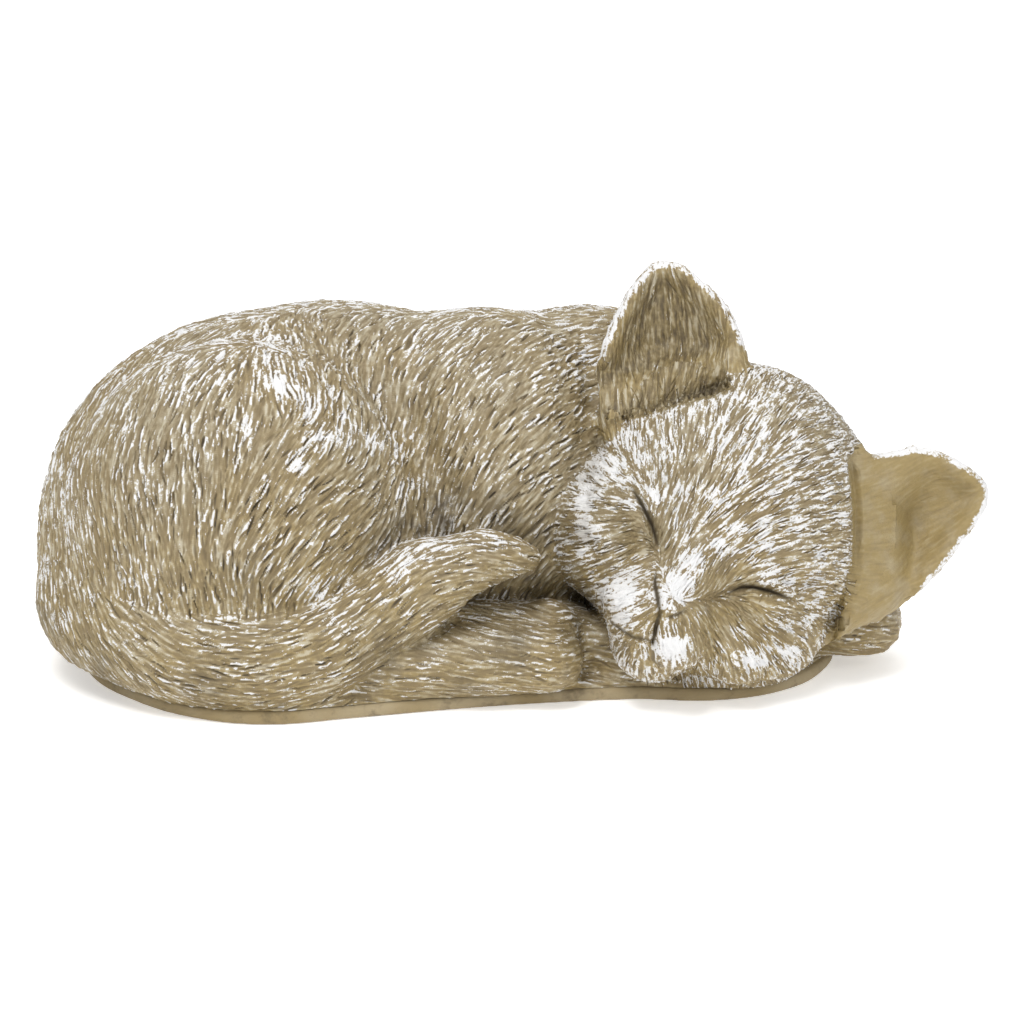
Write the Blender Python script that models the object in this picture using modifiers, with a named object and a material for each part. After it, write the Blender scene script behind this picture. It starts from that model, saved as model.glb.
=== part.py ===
"""Ceramic figurine of a curled, sleeping kitten, as the clay pieces that are cast and luted together.

The torso and the head are hollow slip castings. The ears, the tail, the legs and the paw are cast
or pressed on their own and luted on with slip, and a slab with a pour hole closes the bottom.
The tables below are in millimetres. +X points from rump to head, -Y is the side of the face and +Z
is up. The origin is the middle of the footprint, on the surface that the figurine rests on.
"""

import math

import bmesh
import bpy
from mathutils import Euler, Matrix, Vector

MM = 0.001
ORIGIN = Matrix.Identity(4)

# Driving dimensions.
WALL = 6.5
GAP = 0.3
SLAB_THICK = 4.0
SLAB_EDGE = 1.0
POUR_HOLE_RADIUS = 11.0
FORM_VOXEL = 3.0
FINE_VOXEL = 2.0
HOLLOW_VOXEL = 4.0

# The head's own frame: +X across the face, -Y out of the face, +Z up the face.
HEAD_CENTRE = (59.0, -16.0, 42.5)
HEAD_ROLL = 37.0
HEAD_PITCH = -15.0

# Soft forms, each a blend of ellipsoids: centre, radii, turn about X, Y and Z in degrees.
TORSO = {
    "rump": ((-71, 7, 35), (69, 61, 67), (0, 0, 0)),
    "loin": ((-53, 16, 50), (63, 52, 53.5), (0, 0, 0)),
    "haunch": ((-79, -28, 52), (48, 37, 49), (0, 8, 0)),
    "chest": ((-9, 11, 50), (45, 48, 53), (0, 0, 0)),
    "back": ((-20, 22, 32), (92, 44, 50), (0, 0, 0)),
    "shoulder": ((23, 27, 53), (46, 40, 47.5), (0, 0, 0)),
    "nape": ((46, 29, 32), (52, 37, 42), (0, 0, 0)),
    "neck": ((62, 24, 36), (41, 38, 38), (0, 0, 0)),
}
HEAD = {
    "cranium": ((0, 2, 6), (42, 42, 45), (0, 0, 0)),
    "face": ((0, -14, -12), (37, 23, 28), (0, 0, 0)),
    "left_cheek": ((-22, -8, -14), (21, 24, 23), (0, 0, 0)),
    "right_cheek": ((22, -8, -14), (21, 24, 23), (0, 0, 0)),
    "muzzle": ((0, -31, -30), (16, 15, 12.5), (0, 0, 0)),
    "nose_bridge": ((0, -31, -16), (8, 11, 18), (-16, 0, 0)),
    "nose": ((-1, -42, -26), (5, 5, 5), (0, 0, 0)),
    "chin": ((3, -24, -39), (11, 11, 8), (0, 0, 0)),
}
HOLLOW_IN_HEAD = ("cranium", "left_cheek", "right_cheek")
HIND_PAW = {
    "heel": ((-34, -45, 12), (24, 13, 10), (0, 0, 0)),
    "instep": ((-10, -45, 13), (27, 12, 10.5), (0, -3, 0)),
    "toes": ((9, -45, 13.5), (11, 12, 10.5), (0, 0, 0)),
}
NEAR_FORELEG = {
    "forearm": ((-6, -37, 19), (26, 10, 9), (0, 4, 0)),
    "paw": ((10, -38, 20), (9, 9, 8.5), (0, 0, 0)),
}
FAR_FORELEG = {
    "wrist": ((14, -27, 13), (16, 13, 11), (0, 0, 0)),
    "forearm": ((42, -28, 13), (26, 14, 12), (0, 0, 0)),
}
FAR_PAW = {
    "palm": ((99, -4, 11.5), (15, 15, 11), (0, 0, 20)),
    "outer_toe": ((107, 2, 11.5), (8, 8, 8.5), (0, 0, 0)),
    "inner_toe": ((105, -10, 10.5), (8, 7, 8), (0, 0, 0)),
}

# Limbs with a route: centre and radius at each station.
TAIL = (
    ((-118, 8, 31), 13.0),
    ((-121, -16, 23), 18.0),
    ((-105, -40, 21), 18.5),
    ((-80, -53, 17), 16.0),
    ((-56, -52, 19), 14.5),
    ((-39, -48, 27), 13.0),
    ((-24, -47, 37), 12.0),
    ((-10, -46, 43), 8.5),
    ((0, -44, 43), 6.0),
    ((6, -42, 42), 3.5),
)

# Ears in the head's frame: inner end and outer end of the root, and the tip.
EARS = {
    "left_ear": ((-23, -10, 42), (-49, -6, 10), (-60, -4, 53)),
    "right_ear": ((20, -7, 40), (48, -4, 2), (55, -4, 57)),
}
EAR_ROOT = 0.3
EAR_CUP = 11.0
EAR_WALL = 5.0
EAR_STEPS = 14

# Outline of the slab that closes the bottom, walked anticlockwise from its left end.
SLAB_OUTLINE = (
    (-130, 6),
    (-126, -20),
    (-113, -42),
    (-90, -62),
    (-70, -67),
    (-46, -61),
    (-18, -53),
    (14, -46),
    (36, -43),
    (62, -44),
    (82, -34),
    (94, -16),
    (98, 6),
    (90, 32),
    (72, 50),
    (40, 58),
    (0, 60),
    (-50, 65),
    (-98, 56),
    (-122, 36),
)
POUR_HOLE_AT = (-30.0, 6.0)


def collection(name):
    made = bpy.data.collections.new(name)
    bpy.context.scene.collection.children.link(made)
    return made


def clear_scene():
    for obj in list(bpy.data.objects):
        bpy.data.objects.remove(obj)


def in_metres(point):
    return Vector(point) * MM


def new_object(name, mesh, group):
    obj = bpy.data.objects.new(name, mesh)
    group.objects.link(obj)
    return obj


def helper(obj):
    """Marks an object as a cutter or guide, which is no part of the figurine."""
    obj.hide_render = True
    obj.display_type = "WIRE"
    return obj


def applied(obj, name):
    """The object's evaluated mesh, as a mesh of its own in world space."""
    bpy.context.view_layer.update()
    evaluated = obj.evaluated_get(bpy.context.evaluated_depsgraph_get())
    mesh = bpy.data.meshes.new_from_object(evaluated)
    mesh.transform(obj.matrix_world)
    mesh.name = name
    bpy.data.objects.remove(obj)
    return mesh


def add_ellipsoids(bm, masses, frame, shrink=0.0):
    for centre, radii, turn in masses:
        size = Matrix.Diagonal([r - shrink for r in radii]).to_4x4()
        spin = Euler([math.radians(a) for a in turn]).to_matrix().to_4x4()
        place = Matrix.Translation(Vector(centre))
        whole = Matrix.Scale(MM, 4) @ frame @ place @ spin @ size
        bmesh.ops.create_icosphere(bm, subdivisions=4, radius=1.0, matrix=whole)


def add_limb(bm, stations):
    """A round limb along a smooth route, thick as its stations say."""
    curve = bpy.data.curves.new("limb", "CURVE")
    curve.dimensions = "3D"
    curve.bevel_depth = MM
    curve.bevel_resolution = 6
    curve.use_fill_caps = True
    spline = curve.splines.new("BEZIER")
    spline.bezier_points.add(len(stations) - 1)
    for point, (centre, radius) in zip(spline.bezier_points, stations):
        point.co = in_metres(centre)
        point.radius = radius
        point.handle_left_type = point.handle_right_type = "AUTO"
    limb = bpy.data.objects.new("limb", curve)
    bpy.context.scene.collection.objects.link(limb)
    mesh = applied(limb, "limb")
    bm.from_mesh(mesh)
    for centre, radius in (stations[0], stations[-1]):
        add_ellipsoids(bm, [(centre, (radius,) * 3, (0, 0, 0))], ORIGIN)
    bmesh.ops.remove_doubles(bm, verts=bm.verts, dist=0.001 * MM)


def blended(name, masses, limb=(), frame=ORIGIN, shrink=0.0, voxel=FORM_VOXEL, rounds=4, keep=0.2):
    """One soft closed mesh from overlapping ellipsoids and a limb."""
    bm = bmesh.new()
    if limb:
        add_limb(bm, limb)
    add_ellipsoids(bm, masses, frame, shrink)
    mesh = bpy.data.meshes.new(name)
    bm.to_mesh(mesh)
    bm.free()
    obj = bpy.data.objects.new(name, mesh)
    bpy.context.scene.collection.objects.link(obj)
    skin = obj.modifiers.new("skin", "REMESH")
    skin.mode = "VOXEL"
    skin.voxel_size = voxel * MM
    soften = obj.modifiers.new("soften", "SMOOTH")
    soften.factor = 0.5
    soften.iterations = rounds
    thin = obj.modifiers.new("thin", "DECIMATE")
    thin.ratio = keep
    return applied(obj, name)


def clearance(name, mesh, cutters):
    """A cutter that is the form grown by the gap that neighbouring pieces keep."""
    cutter = helper(new_object(name, mesh, cutters))
    grow = cutter.modifiers.new("grow", "DISPLACE")
    grow.strength = GAP * MM
    grow.mid_level = 0.0
    return cutter


def cut(obj, *tools):
    for tool in tools:
        boolean = obj.modifiers.new("cut_" + tool.name, "BOOLEAN")
        boolean.operation = "DIFFERENCE"
        boolean.object = tool


def material(name, colour, roughness):
    made = bpy.data.materials.new(name)
    made.use_nodes = True
    shader = made.node_tree.nodes["Principled BSDF"]
    shader.inputs["Base Color"].default_value = (*colour, 1.0)
    shader.inputs["Roughness"].default_value = roughness
    shader.inputs["Metallic"].default_value = 0.0
    return made


def piece(name, mesh, finish, group):
    obj = new_object(name, mesh, group)
    mesh.materials.clear()
    mesh.materials.append(finish)
    return obj


def floor_cutter(cutters):
    """Everything below the seam between the castings and the slab."""
    side, depth = 400.0, 100.0
    top = SLAB_THICK + GAP
    bm = bmesh.new()
    shape = Matrix.Translation(in_metres((0, 0, top - depth / 2)))
    size = Matrix.Diagonal(in_metres((side, side, depth))).to_4x4()
    bmesh.ops.create_cube(bm, size=1.0, matrix=shape @ size)
    mesh = bpy.data.meshes.new("floor")
    bm.to_mesh(mesh)
    bm.free()
    return helper(new_object("floor", mesh, cutters))


def bore(name, radius, length, frame, cutters, sides=24):
    bm = bmesh.new()
    bmesh.ops.create_cone(
        bm,
        cap_ends=True,
        segments=sides,
        radius1=radius * MM,
        radius2=radius * MM,
        depth=length * MM,
        matrix=frame,
    )
    mesh = bpy.data.meshes.new(name)
    bm.to_mesh(mesh)
    bm.free()
    return helper(new_object(name, mesh, cutters))


def head_frame():
    turn = Matrix.Rotation(math.radians(HEAD_PITCH), 4, "X") @ Matrix.Rotation(
        math.radians(HEAD_ROLL), 4, "Y"
    )
    return Matrix.Translation(Vector(HEAD_CENTRE)) @ turn


def ear_mesh(name, inner, outer, tip):
    """A cupped sheet between the two ends of its root and a rounded tip, given its wall."""
    inner, outer, tip = Vector(inner), Vector(outer), Vector(tip)
    middle, half = (inner + outer) / 2, (outer - inner) / 2
    forward = Vector((0, -1, 0))
    bm = bmesh.new()
    bmesh.ops.create_grid(bm, x_segments=EAR_STEPS, y_segments=EAR_STEPS, size=1.0)
    for vertex in bm.verts:
        across = vertex.co.x
        along = -EAR_ROOT + (1 + EAR_ROOT) * (vertex.co.y + 1) / 2
        risen = max(along, 0.0)
        width = max((1 - risen**2.2) ** 0.75, 0.14)
        arch = 1 - 0.12 * risen * across**2
        cup = EAR_CUP * (1 - 0.6 * risen) * (across**2 - 0.6)
        vertex.co = middle + (tip - middle) * along * arch + half * across * width + forward * cup
    bm.transform(Matrix.Scale(MM, 4) @ head_frame())
    if half.x < 0:
        bmesh.ops.reverse_faces(bm, faces=bm.faces)
    mesh = bpy.data.meshes.new(name)
    bm.to_mesh(mesh)
    bm.free()
    obj = bpy.data.objects.new(name, mesh)
    bpy.context.scene.collection.objects.link(obj)
    wall = obj.modifiers.new("wall", "SOLIDIFY")
    wall.thickness = EAR_WALL * MM
    wall.offset = 0.0
    round_off = obj.modifiers.new("round_off", "REMESH")
    round_off.mode = "VOXEL"
    round_off.voxel_size = FINE_VOXEL * 0.6 * MM
    soften = obj.modifiers.new("soften", "SMOOTH")
    soften.factor = 0.5
    soften.iterations = 4
    thin = obj.modifiers.new("thin", "DECIMATE")
    thin.ratio = 0.09
    return applied(obj, name)


def slab(finish, group, cutters):
    """The flat slab under the figurine, with its pour hole."""
    curve = bpy.data.curves.new("slab_outline", "CURVE")
    curve.dimensions = "2D"
    curve.fill_mode = "BOTH"
    curve.extrude = (SLAB_THICK / 2 - SLAB_EDGE) * MM
    curve.bevel_depth = SLAB_EDGE * MM
    curve.bevel_resolution = 1
    curve.resolution_u = 5
    spline = curve.splines.new("BEZIER")
    spline.bezier_points.add(len(SLAB_OUTLINE) - 1)
    spline.use_cyclic_u = True
    for point, (x, y) in zip(spline.bezier_points, SLAB_OUTLINE):
        point.co = in_metres((x, y, 0))
        point.handle_left_type = point.handle_right_type = "AUTO"
    outline = bpy.data.objects.new("slab_outline", curve)
    bpy.context.scene.collection.objects.link(outline)
    outline.location.z = SLAB_THICK / 2 * MM
    mesh = applied(outline, "base_slab")
    bm = bmesh.new()
    bm.from_mesh(mesh)
    bmesh.ops.remove_doubles(bm, verts=bm.verts, dist=0.001 * MM)
    bm.to_mesh(mesh)
    bm.free()
    obj = piece("base_slab", mesh, finish, group)
    x, y = POUR_HOLE_AT
    hole = bore("pour_hole", POUR_HOLE_RADIUS, 40, Matrix.Translation(in_metres((x, y, 0))), cutters, 32)
    cut(obj, hole)
    return obj


def pressed_parts():
    """The small solid parts, in the order in which they are luted on."""
    return {
        "tail": blended("tail", (), limb=TAIL, voxel=FINE_VOXEL),
        "far_foreleg": blended("far_foreleg", FAR_FORELEG.values(), voxel=FINE_VOXEL),
        "far_paw": blended("far_paw", FAR_PAW.values(), voxel=FINE_VOXEL),
        "hind_paw": blended("hind_paw", HIND_PAW.values(), voxel=FINE_VOXEL),
        "near_foreleg": blended("near_foreleg", NEAR_FORELEG.values(), voxel=FINE_VOXEL),
    }


def main():
    clear_scene()
    cat = collection("sleeping_cat")
    cutters = collection("cutters")
    fur_clay = material("fur_clay", (0.36, 0.31, 0.20), 0.65)
    ear_clay = material("ear_clay", (0.34, 0.29, 0.18), 0.5)
    base_clay = material("base_clay", (0.30, 0.26, 0.18), 0.8)
    floor = floor_cutter(cutters)
    head_at = head_frame()

    torso = blended("torso_form", TORSO.values(), rounds=16, keep=0.16)
    torso_hollow = blended("torso_hollow", TORSO.values(), shrink=WALL, voxel=HOLLOW_VOXEL, keep=0.14)
    head = blended("head_form", HEAD.values(), frame=head_at, voxel=FINE_VOXEL, keep=0.16)
    inside = [HEAD[name] for name in HOLLOW_IN_HEAD]
    head_hollow = blended("head_hollow", inside, frame=head_at, shrink=WALL, keep=0.12)
    torso_core = helper(new_object("torso_core", torso_hollow, cutters))
    head_core = helper(new_object("head_core", head_hollow, cutters))
    torso_room = clearance("torso_room", torso.copy(), cutters)
    head_room = clearance("head_room", head.copy(), cutters)

    cut(piece("torso_shell", torso, fur_clay, cat), torso_core, floor)
    cut(piece("head_shell", head, fur_clay, cat), torso_room, head_core, floor)
    taken = [torso_room, head_room]
    for name, corners in EARS.items():
        cut(piece(name, ear_mesh(name, *corners), ear_clay, cat), *taken)
    for name, mesh in pressed_parts().items():
        room = clearance(name + "_room", mesh.copy(), cutters)
        cut(piece(name, mesh, fur_clay, cat), *taken, floor)
        taken.append(room)
    slab(base_clay, cat, cutters)


main()
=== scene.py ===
"""Looks of the sleeping kitten.

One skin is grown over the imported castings, the face is modelled on it, the fur is carved along its
lie, and the skin is cut up again into one piece per casting. Lengths are millimetres in the frame's
axes, +X from rump to head, -Y the side of the face and +Z up, unless a comment says otherwise.
"""

import math
from concurrent.futures import ThreadPoolExecutor
from contextlib import contextmanager

import bmesh
import bpy
import numpy as np
from mathutils import Euler, Matrix, Vector
from mathutils.bvhtree import BVHTree


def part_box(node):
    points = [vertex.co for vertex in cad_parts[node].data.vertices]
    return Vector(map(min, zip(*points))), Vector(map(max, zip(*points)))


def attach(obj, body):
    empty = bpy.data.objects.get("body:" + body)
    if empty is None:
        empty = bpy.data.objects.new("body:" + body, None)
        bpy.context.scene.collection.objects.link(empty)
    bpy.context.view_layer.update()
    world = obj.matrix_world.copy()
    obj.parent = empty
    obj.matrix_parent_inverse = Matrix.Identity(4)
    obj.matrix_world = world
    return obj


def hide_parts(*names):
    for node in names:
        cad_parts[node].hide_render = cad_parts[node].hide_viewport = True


MM = 0.001
SEED = 7

# The skin: voxels of the first meshes, rounds of smoothing, how far it stands off the castings and
# above what height, how often its faces are halved, and how far it comes down past the slab's top.
SKIN_VOXEL, SLAB_VOXEL = ((1.7, 0.9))
SKIN_ROUNDS = 5
BACK_ROUNDS = 50
VALLEY_ROUNDS = 50
SWELL = 0.9
EAR_SWELL = 1.5
SWELL_ABOVE = 8.0
HALVINGS = 2
SINK = 0.6
SLAB_DRAWN_IN = 0.965
# The tail runs into the rump over this share of its length, which fades in over the next value.
TAIL_ROOT, ROOT_FADE = 0.24, 0.1
ROOT_HEADROOM = 12.0
ROOT_ROUNDS = 40
# Where the smoother back begins, towards the back and upwards.
BACK_FROM, BACK_ABOVE = (2, 14), (6, 16)
# The pour hole's middle and the width of the block that closes it, in metres.
HOLE_PLACE, HOLE_COVER = (-0.030, 0.006), 0.06
# A start for rays, well in front of the figurine.
IN_FRONT = -150.0

CASTINGS = (
    "torso_shell",
    "head_shell",
    "left_ear",
    "right_ear",
    "tail",
    "hind_paw",
    "near_foreleg",
    "far_foreleg",
    "far_paw",
)
TORSO, HEAD, LEFT_EAR, RIGHT_EAR, TAIL, HIND_PAW, NEAR_LEG, FAR_LEG, FAR_PAW = range(9)
FACE_PARTS = (HEAD, LEFT_EAR, RIGHT_EAR)
LIMBS = (HIND_PAW, NEAR_LEG, FAR_LEG, FAR_PAW)

# The head's own axes: across the face, out of its back, and up. Its middle is a share of its box.
HEAD_MIDDLE = (0.5, 0.58, 0.444)
HEAD_ROLL = 37.0
HEAD_PITCH = -15.0
# The head's front, with finer fur, ends this far behind its middle.
FINE_DEPTH = 12.0

# Masses of the face: centre, radii and turn, in the head's axes.
FACE = (
    ((0, -34, -12), (7, 9, 17), (-12, 0, 0)),
    ((-0.5, -37, -24), (9, 8, 8), (0, 0, 0)),
    ((-1, -45, -26), (5, 4.5, 4), (0, 0, 0)),
    ((-8.5, -37, -31.5), (8.5, 8.5, 6), (0, 8, 0)),
    ((8, -37, -33), (7.5, 8.5, 6.5), (0, -12, 0)),
    ((2, -30, -41.5), (7, 7.5, 5.5), (0, 0, 0)),
    ((-19, -29, -8), (10, 9, 8), (0, 25, 0)),
    ((19, -29, -6), (10, 9, 8), (0, -25, 0)),
    ((-16, -31, 5), (12, 8, 6), (0, 20, 0)),
    ((16, -31, 6), (12, 8, 6), (0, -20, 0)),
    ((22, -26, -24), (11, 9, 9), (0, 0, 0)),
)

# Cuts in the face: places across and up, then half width and depth.
FACE_CUTS = (
    (((-27.8, -5.2), (-23.8, -6.8), (-19.7, -8.7), (-16, -10.8), (-12.6, -13.4)), 0.9, 3),
    (((11.5, -11.8), (13.2, -8.8), (15.6, -6.9), (20, -4.9), (26, -3.2)), 0.9, 3),
    (((-8.6, -20), (-6.7, -23), (-3.8, -25.8), (-1.3, -28.4)), 0.85, 2.2),
    (((4.2, -23), (2.6, -26), (0.8, -28.6)), 0.7, 1.4),
    (((-1, -28), (-0.4, -30.5), (0.9, -33), (2.6, -36.5)), 0.9, 2.2),
    (((2.4, -35.5), (-2.9, -38.2), (-9.8, -38.6), (-16, -36)), 0.85, 1.7),
    (((2.3, -36), (5.5, -40), (10.5, -39.8), (15.5, -36)), 0.85, 1.3),
)
# Soft forms of the face: place across and up, turn, half length, half width and rise.
FACE_FORMS = (
    (-18.6, -5.6, -26, 9, 2.6, 1.5), (-22, -13, -26, 9, 2.8, 1.2),
    (17.2, -3.2, 28, 9, 2.6, 1.5), (20.8, -11, 24, 9, 2.8, 1.2),
    (-12, -16, 0, 4.5, 4, -2), (11, -14.5, 0, 4.5, 4, -2),
    (-19.5, -20.5, -24, 8, 3, -1.3), (19.5, -18, 15, 8, 3, -1.2),
    (-1, -14, 90, 11, 4.5, 1.2), (-15, 1, -20, 8, 3.5, -0.9), (14, 2.5, 20, 8, 3.5, -0.9),
    (-14, 12, -10, 11, 5, 0.9), (14, 13, 10, 11, 5, 0.9), (0, 8, 90, 14, 3.5, -0.7),
    (-9, -31.5, 0, 7.5, 5, 0.8), (8, -33, 0, 6, 5, 0.8),
)
# Folds of the body, as places in the torso's box: along, up, then half width and depth.
FOLDS = (
    (
        ((0.39, 0.93), (0.425, 0.84), (0.455, 0.75), (0.478, 0.66), (0.495, 0.57), (0.5, 0.47)),
        5.5,
        4.5,
    ),
    (((0.33, 0.95), (0.37, 0.88), (0.405, 0.79), (0.43, 0.7), (0.45, 0.61)), 4, -1.6),
    (((0.66, 0.93), (0.67, 0.84), (0.668, 0.72), (0.66, 0.58), (0.665, 0.44)), 3, 1.5),
    (((0.6, 0.97), (0.62, 0.85), (0.615, 0.74), (0.6, 0.64)), 4, -1.2),
    (((0.47, 0.88), (0.475, 0.8), (0.47, 0.74)), 2, 1.6),
    (((0.27, 0.42), (0.3, 0.45), (0.325, 0.46)), 1.8, 1.2),
)

# The lie of the coat on the side, as places in the torso's box (along, up) and directions.
TORSO_LIE = (
    (0.02, 0.49, -0.05, -1), (0.08, 0.79, -0.3, -1), (0.17, 0.87, -0.25, -1),
    (0.23, 0.72, 0.05, -1), (0.14, 0.55, 0.15, -1), (0.07, 0.46, 0.2, -1),
    (0.05, 0.15, 0.3, -0.95), (0.3, 0.64, -0.45, -0.85), (0.34, 0.76, -0.7, -0.7),
    (0.38, 0.61, -0.85, -0.5), (0.32, 0.49, -0.6, -0.75), (0.39, 0.5, -0.75, -0.65),
    (0.33, 0.92, 0.7, -0.7), (0.4, 0.82, 0.35, -0.9), (0.38, 1.02, -0.7, -0.6),
    (0.5, 1.02, -0.95, -0.3), (0.6, 1, -1, -0.1), (0.48, 0.93, -0.6, -0.8),
    (0.46, 0.77, -0.15, -1), (0.52, 0.78, -0.35, -0.95), (0.57, 0.88, -0.6, -0.75),
    (0.6, 0.76, -0.75, -0.6), (0.53, 0.59, -0.4, -0.9), (0.58, 0.56, -0.7, -0.7),
    (0.64, 0.87, -0.97, -0.15), (0.64, 0.67, -0.9, -0.4), (0.47, 0.55, -0.05, -1),
    (0.23, 0.33, 0.15, -1), (0.2, 1.02, -0.6, -0.5), (0.85, 0.6, -0.5, -0.8),
    (0.95, 0.3, -0.2, -1),
)
BACK_LIE = (-1.0, 0.0, -0.3)
TAIL_LIE = (
    (0.02, 0.6, 0.15, -1), (0.1, 0.5, 0.35, -0.95), (0.06, 0.1, 0.5, -0.85),
    (0.17, 0.1, 0.65, -0.6), (0.25, 0.55, 0.85, -0.45), (0.37, 0.35, 0.97, -0.15),
    (0.53, 0.35, 0.98, 0.15), (0.64, 0.5, 0.85, 0.5), (0.72, 0.75, 0.75, 0.65),
    (0.83, 0.95, 0.95, 0.25), (0.91, 0.85, 0.9, -0.3), (1, 0.75, 0.8, -0.6),
)
PAW_LIE = ((0.5, 0.5, 0.97, -0.15),)
# The lie of the coat on the face: place across and up, and direction, in millimetres of the head.
HEAD_LIE = (
    (-11, 14, -0.17, 0.99), (-9, 30, 0.01, 1), (-32, 9, -0.68, 0.73), (-33, -13, -0.85, -0.52),
    (-40, -8, -1, -0.02), (-32, -23, -0.7, -0.71), (-24, -27, -0.6, -0.8),
    (-12, -10, -0.32, 0.95), (-15, 0, -0.32, 0.95), (-5, -13, 0.01, 1), (-1, 0, 0.23, 0.97),
    (3, 14, 0.4, 0.92), (8, 25, 0.5, 0.87), (18, 22, 0.67, 0.75), (18, 12, 0.63, 0.78),
    (5, -10, -0.32, 0.95), (7, -2, 0.29, 0.96), (14, -2, 0.46, 0.89), (23, 1, 0.66, 0.75),
    (32, 4, 0.86, 0.52), (33, -6, 0.97, 0.24), (41, -9, 0.93, -0.37), (21, -15, 0.99, -0.12),
    (20, -34, 0.75, -0.66), (29, -25, 0.88, -0.47), (-10, -30, -0.5, -0.87), (9, -32, 0.75, -0.66),
    (-36, 10, -0.6, 0.8), (-26, 24, -0.43, 0.9), (10, 41, 0.58, 0.82), (-22, -19, -0.54, -0.84),
    (-14, -20, -0.37, -0.93), (14, -20, 0.93, -0.37),
)
# The ears in the head's axes: inner root end, outer root end and tip.
EARS = {
    LEFT_EAR: ((-23, -10, 42), (-49, -6, 10), (-60, -4, 53)),
    RIGHT_EAR: ((20, -7, 40), (48, -4, 2), (55, -4, 57)),
}
# The ears' cups: depth, width of the slope and of the white rim, sectors in which the outline is
# looked for, and how far from the tip's direction the outline is taken.
EAR_CUP, EAR_SLOPE, EAR_RIM = 4.0, 9.0, 4.5
EAR_SECTORS, EAR_OPEN = 90, math.radians(100)
# How much of each ear's box, along X, Y and Z, is still head, and how far its skin reaches past it.
EAR_INSET = {"left_ear": np.array((0, 0, 0.35)), "right_ear": np.array((0.35, 0, 0))}
EAR_MARGIN = 1.0
# The dent between the ears: its middle in the head's axes, depth and radius.
CROWN, CROWN_DENT, CROWN_REACH = (8.0, -5.0, 46.0), 2.4, 15.0
# The ledge where the fur stops short of the right ear, up and across the face.
LEDGE_UP = (-4.5, 5.4, 16.2, 29.6, 38.1)
LEDGE_ACROSS = (44.6, 38.6, 34.1, 24.0, 16.0)
# Its drop, and the heights over which it begins.
LEDGE_DROP, LEDGE_FOOT = 1.6, (-9, -3)
# The fringe of fur over the root of the left ear's hollow: across and up, then its teeth's width,
# length and rise.
FRINGE = ((-44.5, 5), (-39, 10.7), (-34.6, 15.9), (-30.1, 22.9), (-24.8, 28.9), (-20.8, 35.2))
FRINGE_TOOTH, FRINGE_LENGTH, FRINGE_RISE = 3.4, 5.5, 1.8
# How far its measure reaches, and what places out of its reach get instead.
FRINGE_REACH, OUT_OF_REACH = 16.0, -99.0
# How far past the fringe and the ledge the ears' own cups begin.
LEFT_CUP_FROM, RIGHT_CUP_FROM = (9, 16), (16, 26)
# Beyond both edges the surface becomes one smooth bowl with the ear: its place at the edge, its
# slope and its width.
RIGHT_BOWL = (-18.5, 0.5, 20.0)
LEFT_BOWL = (-14.5, 0.35, 12.0)

# The gouges of each casting's coat: half length, half width and depth.
COAT = {
    TORSO: (3.3, 0.8, 0.85),
    HEAD: (2.6, 0.46, 0.55),
    LEFT_EAR: (2.4, 0.55, 0.45),
    RIGHT_EAR: (2.4, 0.55, 0.45),
    TAIL: (3.3, 0.62, 0.55),
    HIND_PAW: (3.2, 0.55, 0.3),
    NEAR_LEG: (3.4, 0.55, 0.4),
    FAR_LEG: (3.0, 0.55, 0.3),
    FAR_PAW: (3.0, 0.55, 0.3),
}
# How much shallower the gouges are inside the left ear, and inside the right one.
EAR_SHALLOW = (0.1, 0.93)
# The short coat round the nose, in the head's axes: middle and radii.
MUZZLE, MUZZLE_RADII = (0, -46, -28), (17, 18, 17)
# The grid that spreads the gouges over the face and the rest.
FACE_SPACING, BODY_SPACING = 1.1, 1.6
# How far a guide of the lie holds before its neighbours take over, squared, on body and face.
BODY_EASE, FACE_EASE = 60.0, 30.0
# How many gouges, and how many places of the lie, are worked out at a time.
BATCH, LIE_BATCH = 700, 100000
# How the gouges vary: spread of turn and bend, and ranges of length, width, depth and lean.
TURN, BEND = 0.14, 0.03
LENGTHS, WIDTHS, DEPTHS, LEANS = (0.65, 1.35), (0.6, 1.3), (0.45, 1.2), (-0.5, 0.2)
# Some gouges are narrow and deep, a few are broad: their share, and what it does to their size.
NARROW, NARROW_WIDTH, NARROW_DEPTH = 0.2, 0.65, 1.7
BROAD, BROAD_WIDTH, BROAD_LENGTH = 0.06, 2.0, 1.3
# No gouge reaches a surface farther than this from its own.
GOUGE_SIDE = 2.5
# How far the painted streaks are drawn out on the face and on the rest.
FACE_STREAK, BODY_STREAK = 1.9, 2.3


# ---------------------------- numbers and the frame


def eased(values, low, high):
    """Rises smoothly from 0 at low to 1 at high."""
    t = np.clip((values - low) / (high - low), 0, 1)
    return t * t * (3 - 2 * t)


def dot(x, y, z, vectors):
    return x * vectors[:, 0] + y * vectors[:, 1] + z * vectors[:, 2]


def head_frame():
    lo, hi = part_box("head_shell")
    middle = [a + (b - a) * share for a, b, share in zip(lo, hi, HEAD_MIDDLE)]
    pitch = Matrix.Rotation(math.radians(HEAD_PITCH), 4, "X")
    roll = Matrix.Rotation(math.radians(HEAD_ROLL), 4, "Y")
    return Matrix.Translation(Vector(middle) / MM) @ pitch @ roll


def box_mm(node):
    lo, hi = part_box(node)
    return np.array(lo) / MM, np.array(hi) / MM


def on_front(node, along, up):
    """The place along X and Z of shares of a casting's box."""
    lo, hi = box_mm(node)
    return lo[0] + along * (hi[0] - lo[0]), lo[2] + up * (hi[2] - lo[2])


def to_local(points, head_at):
    inverse = np.array(head_at.inverted())
    return points @ inverse[:3, :3].T + inverse[:3, 3]


def forward_of(head_at):
    """Out of the face."""
    return np.array(head_at.to_3x3() @ Vector((0, -1, 0)))


# ---------------------------- meshes


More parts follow.
